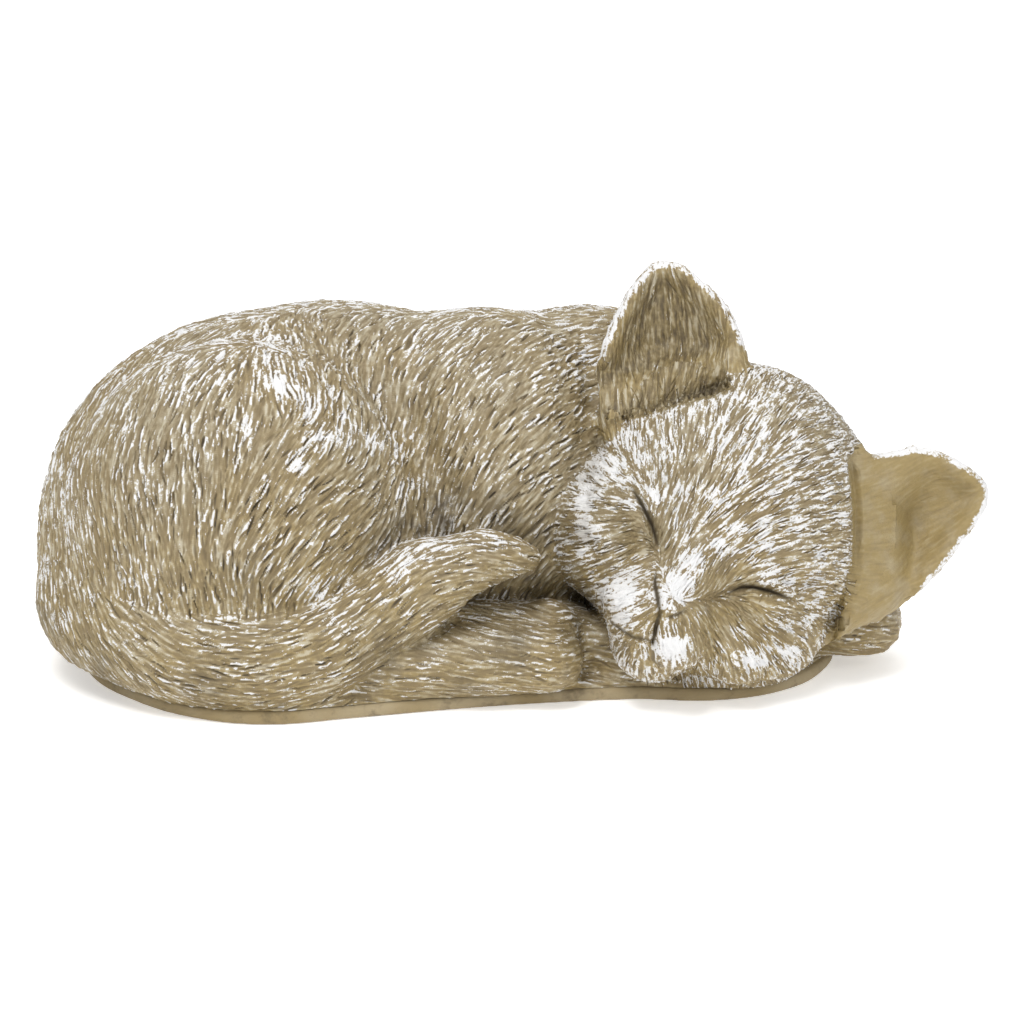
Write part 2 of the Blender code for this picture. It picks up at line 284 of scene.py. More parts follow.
def read(collection, key, size=1, kind=np.float32):
    """One property of a mesh's elements as an array, with a row each where size is over 1."""
    out = np.empty(len(collection) * size, kind)
    collection.foreach_get(key, out)
    return out.reshape(-1, size) if size > 1 else out


def as_arrays(mesh):
    """Vertices in millimetres, and edges."""
    co = read(mesh.vertices, "co", 3).astype(float) / MM
    return co, read(mesh.edges, "vertices", 2, np.int32)


def normals_of(mesh):
    return read(mesh.vertex_normals, "vector", 3).astype(float)


def faces_of(mesh):
    """The corners' vertices, and each face's number of corners and label."""
    corners = read(mesh.loops, "vertex_index", kind=np.int32)
    totals = read(mesh.polygons, "loop_total", kind=np.int32)
    return corners, totals, read(mesh.polygons, "material_index", kind=np.int32)


def set_points(mesh, co):
    mesh.vertices.foreach_set("co", (co * MM).astype(np.float32).ravel())
    mesh.update()


def store(mesh, name, values):
    """Keeps a number, or a vector where values has rows of three, with every vertex."""
    kind, key = ("FLOAT", "value") if values.ndim == 1 else ("FLOAT_VECTOR", "vector")
    layer = mesh.attributes.new(name, kind, "POINT")
    layer.data.foreach_set(key, values.astype(np.float32).ravel())


def stored(mesh, name):
    return read(mesh.attributes[name].data, "value").astype(float)


def averager(count, edges):
    """A function that gives every vertex the mean of its neighbours."""
    a, b = edges[:, 0], edges[:, 1]
    degree = np.maximum(np.bincount(a, minlength=count) + np.bincount(b, minlength=count), 1)

    def mean(values):
        total = np.bincount(a, weights=values[b], minlength=count)
        total += np.bincount(b, weights=values[a], minlength=count)
        return total / degree

    return mean


def smoothed(values, mean, rounds, weight=0.5):
    for _ in range(rounds):
        if values.ndim == 1:
            values = values + weight * (mean(values) - values)
        else:
            moved = np.stack([mean(column) for column in values.T], axis=1)
            values = values + (moved - values) * (weight[:, None] if np.ndim(weight) else weight)
    return values


@contextmanager
def editing(mesh):
    """The mesh as a bmesh, which is written back at the end."""
    bm = bmesh.new()
    bm.from_mesh(mesh)
    yield bm
    bm.to_mesh(mesh)
    bm.free()


def linked(name, data):
    obj = bpy.data.objects.new(name, data)
    bpy.context.scene.collection.objects.link(obj)
    return obj


def applied(obj):
    """The object's evaluated mesh; the object goes."""
    bpy.context.view_layer.update()
    depsgraph = bpy.context.evaluated_depsgraph_get()
    mesh = bpy.data.meshes.new_from_object(obj.evaluated_get(depsgraph))
    bpy.data.objects.remove(obj)
    return mesh


def remeshed(mesh, voxel):
    obj = linked("remeshed", mesh)
    remesh = obj.modifiers.new("remesh", "REMESH")
    remesh.mode = "VOXEL"
    remesh.voxel_size = voxel * MM
    return applied(obj)


# ---------------------------- the skin


def add_face(bm, head_at):
    """The masses of the face as ellipsoids."""
    for centre, radii, turn in FACE:
        spin = Euler([math.radians(a) for a in turn]).to_matrix().to_4x4()
        shape = Matrix.Translation(Vector(centre)) @ spin @ Matrix.Diagonal(radii).to_4x4()
        whole = Matrix.Scale(MM, 4) @ head_at @ shape
        bmesh.ops.create_icosphere(bm, subdivisions=4, radius=1.0, matrix=whole)


def add_plug(bm):
    """Closes the torso's open bottom, just inside its wall, so that the skin has no inside."""
    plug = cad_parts["base_slab"].data.copy()
    lo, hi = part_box("base_slab")
    middle = (lo + hi) / 2
    thick = hi.z - lo.z
    squeeze = Matrix.Diagonal((0.95, 0.95, 1.6, 1.0))
    lift = Matrix.Translation((middle.x, middle.y, lo.z + 0.1 * thick))
    plug.transform(lift @ squeeze @ Matrix.Translation((-middle.x, -middle.y, -lo.z)))
    bm.from_mesh(plug)
    bpy.data.meshes.remove(plug)
    size = Matrix.Diagonal((HOLE_COVER, HOLE_COVER, 1.5 * thick)).to_4x4()
    place = Matrix.Translation((*HOLE_PLACE, thick))
    bmesh.ops.create_cube(bm, size=1.0, matrix=place @ size)


def keep_largest_island(bm):
    """Drops the inside of the hollows, which the skin doesn't need."""
    left, best = set(bm.verts), set()
    while left:
        island, front = set(), {left.pop()}
        while front:
            island |= front
            front = {e.other_vert(v) for v in front for e in v.link_edges} - island
        left -= island
        best = max(best, island, key=len)
    bmesh.ops.delete(bm, geom=[v for v in bm.verts if v not in best], context="VERTS")


def grown_skin(head_at):
    """The outer surface of all the castings as one mesh, open where the slab closes it."""
    mesh = bpy.data.meshes.new("skin")
    with editing(mesh) as bm:
        for name in CASTINGS:
            bm.from_mesh(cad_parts[name].data)
        add_face(bm, head_at)
        add_plug(bm)
    mesh = remeshed(mesh, SKIN_VOXEL)
    slab_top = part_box("base_slab")[1].z - SINK * MM
    with editing(mesh) as bm:
        keep_largest_island(bm)
        everything = list(bm.verts) + list(bm.edges) + list(bm.faces)
        bmesh.ops.bisect_plane(
            bm, geom=everything, plane_co=(0, 0, slab_top), plane_no=(0, 0, -1), clear_outer=True
        )
    return mesh


def label_faces(mesh):
    """Marks each face with the casting it lies nearest to, as its material index.

    The materials only hold the places of the indices. The pieces get their own later.
    """
    trees = []
    for name in CASTINGS:
        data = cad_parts[name].data
        data.calc_loop_triangles()
        points = [v.co for v in data.vertices]
        trees.append(BVHTree.FromPolygons(points, [tuple(t.vertices) for t in data.loop_triangles]))
    labels = np.zeros(len(mesh.polygons), np.int32)
    for face in mesh.polygons:
        nearest, best = 1.0, TORSO
        for label, tree in enumerate(trees):
            found = tree.find_nearest(face.center, nearest)
            if found[0] is not None:
                nearest, best = found[3], label
        labels[face.index] = best
    mesh.materials.clear()
    for name in CASTINGS:
        mesh.materials.append(bpy.data.materials.new("label_" + name))
    mesh.polygons.foreach_set("material_index", labels)


def near_box(co, node):
    """Which points lie well inside a casting's box, measured from its root side."""
    lo, hi = box_mm(node)
    inset = (hi - lo) * EAR_INSET[node]
    return ((co > lo + inset - EAR_MARGIN) & (co < hi + EAR_MARGIN)).all(1)


def soft_skin(mesh, head_at):
    """Smooths the skin, blends the tail into the rump, and notes how deep each point lies."""
    co, edges = as_arrays(mesh)
    mean = averager(len(co), edges)
    co = smoothed(co, mean, SKIN_ROUNDS)
    lo, hi = box_mm("tail")
    along = (co[:, 0] - lo[0]) / (hi[0] - lo[0])
    root = np.clip((TAIL_ROOT - along) / ROOT_FADE, 0, 1) * (co[:, 2] < hi[2] + ROOT_HEADROOM)
    co = smoothed(co, mean, ROOT_ROUNDS, 0.6 * root)
    back = eased(co[:, 1], *BACK_FROM) * eased(co[:, 2], *BACK_ABOVE)
    co = smoothed(co, mean, BACK_ROUNDS, 0.5 * back)
    set_points(mesh, co)
    normal = normals_of(mesh)
    ears = near_box(co, "left_ear") | near_box(co, "right_ear")
    co += normal * (np.where(ears, EAR_SWELL, SWELL) * (co[:, 2] > SWELL_ABOVE))[:, None]
    squared = ((co - np.array(head_at @ Vector(CROWN))) ** 2).sum(1)
    co -= normal * (CROWN_DENT * np.exp(-squared / CROWN_REACH**2))[:, None]
    co = dish_ears(co, normals_of(mesh), mean, head_at)
    set_points(mesh, co)
    normal = normals_of(mesh)
    # How deep each point lies in a fold: carve deepens the folds by it, and the clay paints shade
    # into them with it.
    wide = smoothed(co, mean, VALLEY_ROUNDS)
    depth = ((wide - co) * normal).sum(1)
    store(mesh, "valley", smoothed(depth, mean, 3))


def refine_face(mesh, head_at):
    """Halves the faces at the front of the head and the ears once more, for their finer fur."""
    inverse = head_at.inverted()
    edges = set()
    with editing(mesh) as bm:
        for face in bm.faces:
            if face.material_index in FACE_PARTS:
                if (inverse @ (face.calc_center_median() / MM)).y < FINE_DEPTH:
                    edges.update(face.edges)
        bmesh.ops.subdivide_edges(bm, edges=list(edges), cuts=1, use_grid_fill=True)


def skin_tree(mesh):
    co, _ = as_arrays(mesh)
    return BVHTree.FromPolygons(co.tolist(), [tuple(p.vertices) for p in mesh.polygons])


def dense_skin(mesh):
    obj = linked("dense", mesh)
    halve = obj.modifiers.new("halve", "SUBSURF")
    halve.levels = halve.render_levels = HALVINGS
    halve.use_limit_surface = True
    return applied(obj)


def vertex_labels(mesh):
    """Each vertex's casting, from the faces around it."""
    corners, totals, face_label = faces_of(mesh)
    labels = np.zeros(len(mesh.vertices), np.int32)
    labels[corners] = np.repeat(face_label, totals)
    return labels


# ---------------------------- carving


def cast(tree, places):
    """Points of the skin straight behind places along X and Z."""
    rays = (tree.ray_cast(Vector((x, IN_FRONT, z)), Vector((0, 1, 0))) for x, z in places)
    return np.array([hit for hit, *_ in rays if hit is not None])


def fine_path(points, step=0.5):
    """A smooth line through given points, with a point every step."""
    length = np.r_[0, np.cumsum(np.linalg.norm(np.diff(points, axis=0), axis=1))]
    at = np.linspace(0, length[-1], max(int(length[-1] / step), 4))
    line = np.stack([np.interp(at, length, column) for column in points.T], axis=1)
    for _ in range(8):
        line[1:-1] = (line[:-2] + 2 * line[1:-1] + line[2:]) / 4
    return line


def along_line(places, line, reach):
    """Distance to a line, and how far along it, of the places within reach of it."""
    near = np.where(((places > line.min(0) - reach) & (places < line.max(0) + reach)).all(1))[0]
    gap = np.full(len(near), np.inf)
    share = np.zeros(len(near))
    for k, point in enumerate(line):
        squared = ((places[near] - point) ** 2).sum(1)
        closer = squared < gap
        gap[closer] = squared[closer]
        share[closer] = k / (len(line) - 1)
    return near, np.sqrt(gap), share


def groove(gap, share, half_width, depth, bank):
    """The rise of a tapering groove, with a bank on both sides, and how much of it is bottom."""
    taper = np.sin(np.pi * np.clip(0.08 + 0.84 * share, 0, 1)) ** 0.5
    floor = np.exp(-((gap / half_width) ** 2)) * taper
    sides = bank * depth * np.exp(-(((gap - 2.2 * half_width) / half_width) ** 2)) * taper
    return sides - depth * floor, floor


def fold_body(co, normal, tree):
    """Presses the folds into the body and raises its ridges."""
    for places, half_width, depth in FOLDS:
        line = fine_path(cast(tree, [on_front("torso_shell", *place) for place in places]), 1.0)
        near, gap, share = along_line(co, line, 3 * half_width)
        co[near] += normal[near] * groove(gap, share, half_width, depth, 0.0)[0][:, None]


def model_face(co, normal, label, head_at):
    """Forms lids, cheeks and muzzle, and cuts eyes, nose and mouth. Returns the cuts."""
    forward = forward_of(head_at)
    facing = np.clip((normal @ forward - 0.05) / 0.3, 0, 1) * (label == HEAD)
    local = to_local(co, head_at)
    flat = local[:, [0, 2]]
    rise = np.zeros(len(co))
    for across, up, turn, half_length, half_width, height in FACE_FORMS:
        c, s = math.cos(math.radians(turn)), math.sin(math.radians(turn))
        x, z = flat[:, 0] - across, flat[:, 1] - up
        squared = ((x * c + z * s) / half_length) ** 2 + ((z * c - x * s) / half_width) ** 2
        rise += height * np.exp(-squared)
    cuts = np.zeros(len(co))
    for places, half_width, depth in FACE_CUTS:
        near, gap, share = along_line(flat, fine_path(np.array(places), 0.25), 4 * half_width)
        step, floor = groove(gap, share, half_width, depth, 0.2)
        rise[near] += step
        cuts[near] = np.maximum(cuts[near], floor * min(depth / 2.4, 1.0))
    co += forward * (rise * facing)[:, None]
    gap = past_ledge(local)
    ragged = 0.5 * np.sin(1.7 * local[:, 2]) + 0.4 * np.sin(3.1 * local[:, 2] + 1)
    sharp = eased(gap + ragged, 0, 0.9) * (1 - eased(gap, 2, 6))
    sharp *= (local[:, 1] < -3) * (label == HEAD)
    co -= forward * (LEDGE_DROP * sharp * eased(local[:, 2], *LEDGE_FOOT))[:, None]
    return cuts * facing


def past_ledge(local):
    """How far each place of the face lies beyond the ledge by the right ear."""
    return local[:, 0] - np.interp(local[:, 2], LEDGE_UP, LEDGE_ACROSS)


def past_fringe(local):
    """How far each place lies beyond the fringe under the left ear, and how far along it."""
    line = fine_path(np.array(FRINGE, float), 0.5)
    flat = local[:, [0, 2]]
    near, gap, share = along_line(flat, line, FRINGE_REACH)
    heading = np.gradient(line, axis=0)
    nearest = (share * (len(line) - 1)).astype(int)
    off = flat[near] - line[nearest]
    over = heading[nearest, 0] * off[:, 1] - heading[nearest, 1] * off[:, 0]
    height, along = np.full(len(local), OUT_OF_REACH), np.zeros(len(local))
    height[near], along[near] = np.sign(over) * gap, share
    return height, along


def dish_ears(co, normal, mean, head_at):
    """Brings head and ear beyond the fur's edge to one surface, where the ears' hollows start."""
    local = to_local(co, head_at)
    forward = forward_of(head_at)
    height, along = past_fringe(local)
    ends = eased(along, 0.0, 0.08) * (1 - eased(along, 0.92, 1.0))
    zones = (
        (past_ledge(local), eased(local[:, 2], -9, -2), RIGHT_BOWL),
        (height, ends, LEFT_BOWL),
    )
    blend = np.zeros(len(co))
    front = eased(normal @ forward, -0.1, 0.2) * (local[:, 1] < 2)
    for gap, part, (depth, slope, width) in zones:
        part = part * front * eased(gap, 0, 2) * (1 - eased(gap, width, width + 8))
        shift = np.clip(depth + slope * gap - local[:, 1], -9, 14) * part
        co = co - forward * shift[:, None]
        blend = np.maximum(blend, 0.5 * eased(gap, 2, 5) * part)
    return smoothed(co, mean, 16, blend)


def in_ear_hollow(local, label):
    """1 on the parts of the head that belong to the hollows of the ears."""
    height, along = past_fringe(local)
    left = eased(height, 0, 1) * (along > 0.02) * (along < 0.98)
    right = eased(past_ledge(local), 0, 1.2) * eased(local[:, 2], *LEDGE_FOOT)
    return np.maximum(left, right) * (local[:, 1] < 0) * (label == HEAD)


def fringe(co, label, head_at):
    """Raises the toothed edge of the fur over the left ear's root. Returns the shade above it."""
    local = to_local(co, head_at)
    height, share = past_fringe(local)
    along = share * np.linalg.norm(np.diff(np.array(FRINGE, float), axis=0), axis=1).sum()
    tooth = np.abs(((along / FRINGE_TOOTH + 0.3 * np.sin(along)) % 1.0) * 2 - 1)
    reach = FRINGE_LENGTH * (0.15 + 0.85 * tooth) * (0.75 + 0.25 * np.sin(0.9 * along))
    front = (local[:, 1] < 2) * np.isin(label, (HEAD, LEFT_EAR)) * (share > 0.01) * (share < 0.99)
    rise = FRINGE_RISE * eased(height, -7, reach) * (1 - eased(height - reach, 0, 0.7))
    co += forward_of(head_at) * (rise * front)[:, None]
    return (height > reach) * np.exp(-np.clip(height - reach, 0, None) / 4.0) * front


def lie_from_guides(places, guides, ease):
    """Directions in a plane, interpolated between guides that hold a place and a direction each."""
    guides = np.array(guides)
    direction = guides[:, 2:] / np.linalg.norm(guides[:, 2:], axis=1)[:, None]
    out = np.empty((len(places), 2))
    for start in range(0, len(places), LIE_BATCH):
        block = places[start : start + LIE_BATCH]
        squared = ((block[:, None, :] - guides[None, :, :2]) ** 2).sum(2)
        out[start : start + LIE_BATCH] = (1.0 / (squared + ease) ** 2) @ direction
    return out


def lie_on_front(co, guides, node):
    """The lie over a casting's front, from guides placed by shares of its box."""
    placed = [(*on_front(node, x, z), dx, dz) for x, z, dx, dz in guides]
    flat = lie_from_guides(co[:, [0, 2]], placed, BODY_EASE)
    flat /= np.linalg.norm(flat, axis=1)[:, None]
    return np.insert(flat, 1, 0.0, axis=1)


def laid_on(lie, normal):
    """Tips front-view directions into the surface. Down is outwards where it faces up."""
    lie = lie / (np.linalg.norm(lie, axis=1)[:, None] + 1e-9)
    slope = normal[:, 0] * lie[:, 0] + normal[:, 2] * lie[:, 2]
    lie[:, 1] = -np.tanh(normal[:, 1] / 0.2) * slope / np.maximum(np.abs(normal[:, 1]), 0.35)
    return lie


def lie_of_coat(co, normal, label, head_at):
    """Unit vectors along the fur, root to tip, in the surface."""
    lie = np.zeros_like(co)
    side = label == TORSO
    lie[side] = lie_on_front(co[side], TORSO_LIE, "torso_shell")
    lie[side, 0] -= 0.35 * np.clip(normal[side, 2], 0, 1) ** 2
    behind = eased(normal[side, 1], -0.25, 0.15)[:, None]
    lie[side] += behind * (np.array(BACK_LIE) - lie[side])
    tail = label == TAIL
    lie[tail] = lie_on_front(co[tail], TAIL_LIE, "tail")
    for part in LIMBS:
        mine = label == part
        lie[mine] = lie_on_front(co[mine], PAW_LIE, CASTINGS[part])
    lie = laid_on(lie, normal)
    turn = np.array(head_at.to_3x3())
    head = label == HEAD
    flat = lie_from_guides(to_local(co[head], head_at)[:, [0, 2]], HEAD_LIE, FACE_EASE)
    lie[head] = laid_on(np.insert(flat, 1, 0.0, axis=1), normal[head] @ turn) @ turn.T
    for ear, (inner, outer, tip) in EARS.items():
        lie[label == ear] = turn @ (np.array(tip) - (np.array(inner) + outer) / 2)
    lie /= np.linalg.norm(lie, axis=1)[:, None] + 1e-9
    lie -= normal * (lie * normal).sum(1)[:, None]
    return lie / (np.linalg.norm(lie, axis=1)[:, None] + 1e-9)


def cell_keys(cells, shape):
    return (cells[..., 0] * shape[1] + cells[..., 1]) * shape[2] + cells[..., 2]


def carve_fur(co, normal, lie, chosen, size, low, rng):
    """Deepens low, each vertex's depth, with overlapping lens-shaped gouges at chosen vertices."""
    half_length, half_width, depth = size
    count = len(chosen)
    turn = rng.normal(0, TURN, count)
    along, out = lie[chosen], normal[chosen]
    across = np.cross(out, along)
    direction = along * np.cos(turn)[:, None] + across * np.sin(turn)[:, None]
    across = np.cross(out, direction)
    length = half_length[chosen] * rng.uniform(*LENGTHS, count)
    width = half_width[chosen] * rng.uniform(*WIDTHS, count)
    cut = depth[chosen] * rng.uniform(*DEPTHS, count)
    narrow = rng.random(count) < NARROW
    width[narrow] *= NARROW_WIDTH
    cut[narrow] *= NARROW_DEPTH
    broad = rng.random(count) < BROAD
    width[broad] *= BROAD_WIDTH
    length[broad] *= BROAD_LENGTH
    lean = rng.uniform(*LEANS, count)
    bend = rng.normal(0, BEND, count) * length**2
    direction = (direction / length[:, None]).astype(np.float32)
    across = (across / width[:, None]).astype(np.float32)
    bend = (bend / width).astype(np.float32)
    out, centre = out.astype(np.float32), co[chosen].astype(np.float32)

    reach = float(length.max())
    corner = co.min(0) - 2 * reach
    cells = ((co - corner) / reach).astype(np.int64)
    shape = cells.max(0) + 3
    key = cell_keys(cells, shape)
    order = np.argsort(key, kind="stable")
    ordered, places = key[order], co[order].astype(np.float32)
    steps = np.array([(x, y, z) for x in (-1, 0, 1) for y in (-1, 0, 1) for z in (-1, 0, 1)])
    home = cells[chosen]

    def batch(start):
        """The deepest cut of one batch of gouges at each vertex they touch."""
        block = home[start : start + BATCH]
        wanted = cell_keys(block[:, None, :] + steps[None], shape).ravel()
        first = np.searchsorted(ordered, wanted, "left")
        found = np.searchsorted(ordered, wanted, "right") - first
        gouge = np.repeat(np.repeat(np.arange(start, start + len(block)), len(steps)), found)
        point = np.arange(len(gouge)) + np.repeat(first - (np.cumsum(found) - found), found)
        x, y, z = (places[point, axis] - centre[gouge, axis] for axis in range(3))
        a = dot(x, y, z, direction[gouge])
        near = np.abs(a) < 1
        point, gouge, x, y, z, a = (v[near] for v in (point, gouge, x, y, z, a))
        b = dot(x, y, z, across[gouge]) + bend[gouge] * a * a
        lens = 1 - a * a
        r = np.abs(b) / (lens**0.7 + 1e-6)
        near = r < 1
        point, gouge, x, y, z, lens, a, r = (v[near] for v in (point, gouge, x, y, z, lens, a, r))
        h = cut[gouge] * (1 - r * r) * lens**0.6 * (1 + lean[gouge] * a)
        h *= np.abs(dot(x, y, z, out[gouge])) < GOUGE_SIDE
        rank = np.lexsort((h, point))
        point, h = point[rank], h[rank]
        last = np.r_[point[1:] != point[:-1], True]
        return order[point[last]], h[last]

    with ThreadPoolExecutor(4) as pool:
        for point, h in pool.map(batch, range(0, count, BATCH)):
            low[point] = np.maximum(low[point], h)


def coat_size(co, normal, label, head_at):
    """Half length, half width and depth of the gouges at each vertex."""
    length, width, deep = np.array([COAT[part] for part in range(len(CASTINGS))])[label].T
    local = to_local(co, head_at)
    inside = ear_inside(co, normal, label, head_at)
    away = np.linalg.norm((local - MUZZLE) / MUZZLE_RADII, axis=1)
    muzzle = np.clip(1.25 - away, 0, 1)
    fine = 1 - 0.35 * muzzle * (label == HEAD)
    deep = deep * (1 - np.where(local[:, 0] < 0, *EAR_SHALLOW) * inside)
    deep *= 1 - 0.6 * muzzle * (label == HEAD)
    return length * (1 + inside) * fine, width * fine, deep


def ear_inside(co, normal, label, head_at):
    """1 on the inner faces of the ears, 0 elsewhere."""
    facing = np.clip((normal @ forward_of(head_at) + 0.1) / 0.4, 0, 1)
    facing *= np.isin(label, (LEFT_EAR, RIGHT_EAR))
    return np.maximum(facing, in_ear_hollow(to_local(co, head_at), label))


def scattered(co, spacing, wanted, rng):
    """About one vertex for each cell of a grid, from among the wanted ones."""
    order = rng.permutation(np.where(wanted)[0])
    cells = np.floor(co[order] / spacing).astype(np.int64)
    cells -= cells.min(0)
    first = np.unique(cell_keys(cells, cells.max(0) + 1), return_index=True)[1]
    return order[first]


def cup_ears(co, label, head_at):
    """Sinks the middle of each ear. Returns how deep and how near the rim each place is."""
    local = to_local(co, head_at)
    depth, rim = np.zeros(len(co)), np.zeros(len(co))
    height = past_fringe(local)[0]
    height[height == OUT_OF_REACH] = -OUT_OF_REACH
    far = {
        LEFT_EAR: eased(height, *LEFT_CUP_FROM),
        RIGHT_EAR: eased(past_ledge(local), *RIGHT_CUP_FROM),
    }
    for ear, (inner, outer, tip) in EARS.items():
        inner, outer, tip = (np.array(p)[[0, 2]] for p in (inner, outer, tip))
        mine = label == ear
        root = (inner + outer) / 2
        middle = root * 0.6 + tip * 0.4
        flat = local[mine][:, [0, 2]]
        rel = flat - middle
        radius = np.linalg.norm(rel, axis=1)
        sector = ((np.arctan2(rel[:, 1], rel[:, 0]) / (2 * np.pi)) % 1.0 * EAR_SECTORS).astype(int)
        edge = np.zeros(EAR_SECTORS)
        np.maximum.at(edge, sector, radius)
        turn = (np.arange(EAR_SECTORS) + 0.5) / EAR_SECTORS * 2 * np.pi
        toward = np.stack([np.cos(turn), np.sin(turn)], axis=1)
        to_tip = math.atan2(*(tip - middle)[::-1])
        order = np.argsort((turn - to_tip + np.pi) % (2 * np.pi))
        order = order[np.abs((turn[order] - to_tip + np.pi) % (2 * np.pi) - np.pi) < EAR_OPEN]
        outline = fine_path(middle + toward[order] * edge[order, None], 0.5)
        near, gap, _ = along_line(flat, outline, EAR_SLOPE + 2)
        away = np.full(len(flat), 99.0)
        away[near] = gap
        depth[mine] = eased(away, 0.8, EAR_SLOPE) * far[ear][mine]
        rim[mine] = 1 - eased(away, 1.2, EAR_RIM)
    co -= forward_of(head_at) * (EAR_CUP * depth)[:, None]
    return depth, rim


def carve(mesh, tree, head_at):
    """Models the face and the fur on the dense skin and stores what the paint needs."""
    rng = np.random.default_rng(SEED)
    co, edges = as_arrays(mesh)
    mean = averager(len(co), edges)
    label = vertex_labels(mesh)
    normal = smoothed(normals_of(mesh), mean, 4)
    co -= normal * np.clip(0.7 * (stored(mesh, "valley") - 0.5), 0, 2.5)[:, None]

    fold_body(co, normal, tree)
    cut_floor = model_face(co, normal, label, head_at)
    cup, rim = cup_ears(co, label, head_at)
    under_fringe = fringe(co, label, head_at)
    set_points(mesh, co)
    normal = smoothed(normals_of(mesh), mean, 8)
    normal /= np.linalg.norm(normal, axis=1)[:, None]

    lie = lie_of_coat(co, normal, label, head_at)
    size = coat_size(co, normal, label, head_at)
    low = np.zeros(len(co))
    face = np.isin(label, FACE_PARTS)
    limbs = np.isin(label, LIMBS)
    groups = ((face, FACE_SPACING), (limbs, BODY_SPACING), (~face & ~limbs, BODY_SPACING))
    for group, spacing in groups:
        carve_fur(co, normal, lie, scattered(co, spacing, group, rng), size, low, rng)
    low *= 1 - np.clip(cut_floor * 1.5, 0, 1)
    co += normal * (0.5 * size[2] - low)[:, None]
    set_points(mesh, co)
    inner = ear_inside(co, normal, label, head_at)
    hollow = (low - smoothed(low, mean, 14)) / (0.1 + 0.25 * size[2])
    hollow[face] -= 0.35 * np.clip(hollow[face], 0, None)
    in_left = to_local(co, head_at)[:, 0] < 0
    # Painted shade in the ears' hollows: strong in the left ear, faint in the right.
    shade = np.where(label == HEAD, 0.6, cup) * inner * np.where(in_left, 0.8, 0.05)
    store(mesh, "hollow", hollow)
    store(mesh, "cut_floor", cut_floor)
    store(mesh, "inner", inner)
    # Painted shade of the ears' hollows and of the step under the fringe.
    store(mesh, "cup", np.maximum(shade, under_fringe))
    store(mesh, "comb", 1 - inner * np.where(in_left, 0.25, 0.8))
    store(mesh, "rim", rim)
    store(mesh, "lie", lie * (np.where(face, FACE_STREAK, BODY_STREAK) * MM)[:, None])
    return label


def uv_islands(mesh):
    """One small layout for each casting, made on the coarse skin and carried by the halvings."""
    obj = linked("layout", mesh)
    mesh.uv_layers.new(name="OFBake")
    bpy.context.view_layer.objects.active = obj
    obj.select_set(True)
    bpy.ops.object.mode_set(mode="EDIT")
    bm = bmesh.from_edit_mesh(mesh)
    for label in range(len(CASTINGS)):
        for face in bm.faces:
            face.select_set(face.material_index == label)
        bmesh.update_edit_mesh(mesh)
        bpy.ops.uv.smart_project(angle_limit=1.15, island_margin=0.004, scale_to_bounds=True)
    bpy.ops.object.mode_set(mode="OBJECT")
    bpy.data.objects.remove(obj)


def cut_up(mesh):
    """One piece for each casting, shaded with the whole skin's normals so that no seam shows."""
    corners, totals, face_label = faces_of(mesh)
    corner_label = np.repeat(face_label, totals)
    co, normal = read(mesh.vertices, "co", 3), normals_of(mesh)
    uv = read(mesh.uv_layers["OFBake"].uv, "vector", 2)
    names = [a.name for a in mesh.attributes if a.domain == "POINT" and a.data_type == "FLOAT"]
    values = {name: stored(mesh, name) for name in names}
    values["lie"] = read(mesh.attributes["lie"].data, "vector", 3)
    out = {}
    for label, node in enumerate(CASTINGS):
        mine = corner_label == label
        used, inverse = np.unique(corners[mine], return_inverse=True)
        sizes = totals[face_label == label]
        piece = bpy.data.meshes.new("coat_" + node)
        piece.vertices.add(len(used))
        piece.vertices.foreach_set("co", co[used].ravel())
        piece.loops.add(len(inverse))
        piece.loops.foreach_set("vertex_index", inverse.astype(np.int32))
        piece.polygons.add(len(sizes))
        starts = np.r_[0, np.cumsum(sizes)[:-1]]
        piece.polygons.foreach_set("loop_start", starts.astype(np.int32))
        piece.update(calc_edges=True)
        piece.uv_layers.new(name="OFBake").uv.foreach_set("vector", uv[mine].ravel())
        for name, value in values.items():
            store(piece, name, value[used])
        piece.polygons.foreach_set("use_smooth", np.ones(len(sizes), bool))
        piece.normals_split_custom_set_from_vertices(normal[used].tolist())
        out[node] = linked("coat_" + node, piece)
    return out


# ---------------------------- paint


